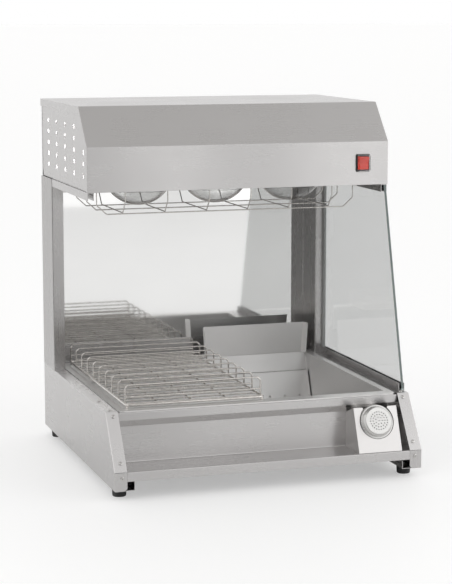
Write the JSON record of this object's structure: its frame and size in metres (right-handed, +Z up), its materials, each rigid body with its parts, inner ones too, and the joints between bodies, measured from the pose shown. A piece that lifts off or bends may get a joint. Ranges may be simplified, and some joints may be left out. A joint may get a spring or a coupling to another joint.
{
  "type": "chip warmer",
  "caption": "Counter-top chip warmer: stainless base with a lift-out rack and tank, tilted salt shaker, mirror back, one glass side and a lamp hood.",
  "frame": {"origin": "centre of the overall box at the underside of the feet", "axes": "+X to the viewer's right facing the front, +Y from the front to the back, +Z up"},
  "size_m": [0.65, 0.634, 0.7555],
  "materials": {
    "brushed_stainless": "brushed",
    "polished_stainless": "mirror polish",
    "bright_stainless": "polished",
    "toughened_glass": "clear, green-tinted edge",
    "black_rubber": "matte",
    "black_plastic": "satin",
    "red_plastic": "gloss",
    "clear_plastic": "clear",
    "white_ceramic": "glazed",
    "lamp_glass": "frosted dome, silvered back",
    "brass": "plated",
    "plated_wire": "bright",
    "plated_screws": "bright",
    "white_plastic": "matte",
    "lead_sleeve": "heat-resistant sleeve"
  },
  "bodies": {
    "cabinet": {"left_side_panel": "brushed_stainless", "right_side_panel": "brushed_stainless", "base_back_panel": "brushed_stainless", "front_rail": "brushed_stainless", "front_shelf": "brushed_stainless", "well_tank": "brushed_stainless", "rear_upstand": "brushed_stainless", "left_post": "brushed_stainless", "right_post": "brushed_stainless", "post_brackets": "brushed_stainless", "left_top_rail": "brushed_stainless", "right_top_rail": "brushed_stainless", "glass_channel": "brushed_stainless", "hood_cover": "brushed_stainless", "hood_left_side": "brushed_stainless", "hood_right_side": "brushed_stainless", "hood_back_panel": "brushed_stainless", "lamp_tray": "brushed_stainless", "shaker_holder": "brushed_stainless", "guard_clips": "brushed_stainless", "mirror_panel": "polished_stainless", "side_glass": "toughened_glass", "glass_rear_seal": "black_rubber", "feet": "black_rubber", "cable_gland": "black_plastic", "switch_frame": "black_plastic", "switch_cover": "clear_plastic", "lampholders": "white_ceramic", "reflector_lamps": "lamp_glass", "lamp_caps": "brass", "lamp_guard": "plated_wire", "terminal_block": "white_plastic", "lamp_leads": "lead_sleeve", "switch_lead": "lead_sleeve", "foot_bolts": "plated_screws", "front_flange_screws": "plated_screws", "deck_flange_screws": "plated_screws", "post_screws": "plated_screws", "hood_screws": "plated_screws"},
    "rocker": {"switch_rocker": "red_plastic"},
    "rack": {"wire_rack": "plated_wire"},
    "baffle": {"bay_baffle": "brushed_stainless"},
    "insert": {"false_bottom": "brushed_stainless"},
    "shaker": {"salt_shaker_body": "bright_stainless"},
    "lid": {"salt_shaker_lid": "bright_stainless"}
  },
  "joints": [
    {"name": "rocker_tilt", "type": "hinge", "parent": "cabinet", "child": "rocker", "pos_m": [0.26885, -0.1145, 0.63155], "axis": [1, 0, 0], "range_deg": [-20, 0]},
    {"name": "rack_lift", "type": "slide", "parent": "cabinet", "child": "rack", "axis": [0, 0, 1], "range_m": [0, 0.15]},
    {"name": "baffle_lift", "type": "slide", "parent": "cabinet", "child": "baffle", "axis": [0, 0, 1], "range_m": [0, 0.15]},
    {"name": "insert_lift", "type": "slide", "parent": "cabinet", "child": "insert", "axis": [0, 0, 1], "range_m": [0, 0.03]},
    {"name": "shaker_draw", "type": "slide", "parent": "cabinet", "child": "shaker", "axis": [0, -0.9272, 0.3746], "range_m": [0, 0.07]},
    {"name": "lid_pull", "type": "slide", "parent": "shaker", "child": "lid", "axis": [0, -0.9272, 0.3746], "range_m": [0, 0.02]}
  ]
}
